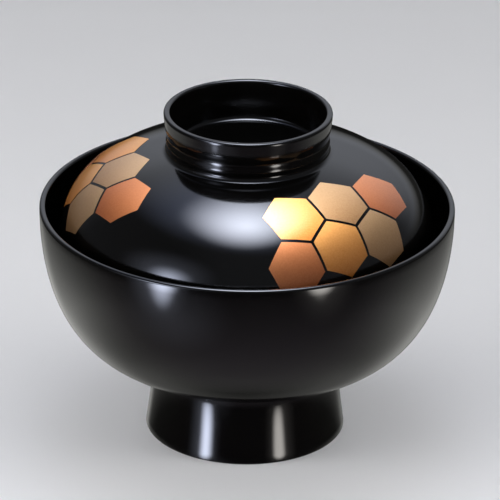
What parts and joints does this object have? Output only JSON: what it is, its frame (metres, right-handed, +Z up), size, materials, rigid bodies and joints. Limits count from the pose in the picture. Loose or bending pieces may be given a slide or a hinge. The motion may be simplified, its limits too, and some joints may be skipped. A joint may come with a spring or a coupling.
{
  "type": "lidded soup bowl",
  "caption": "Footed soup bowl in gloss black lacquer, with a domed lid that nests inside the rim and lifts off by a ring grip.",
  "frame": {"origin": "centre of the foot's resting face", "axes": "+Z up along the axis that the bowl and the lid were turned about; the bowl is round, so X and Y are free"},
  "size_m": [0.12, 0.12, 0.0989],
  "materials": {
    "bowl_lacquer": "black lacquer, polished",
    "lid_lacquer": "black lacquer with gold panels, polished"
  },
  "bodies": {
    "bowl": {"bowl": "bowl_lacquer"},
    "lid": {"lid": "lid_lacquer"}
  },
  "joints": [
    {"name": "lid_lift", "type": "slide", "parent": "bowl", "child": "lid", "axis": [0, 0, 1], "range_m": [0, 0.12]}
  ]
}
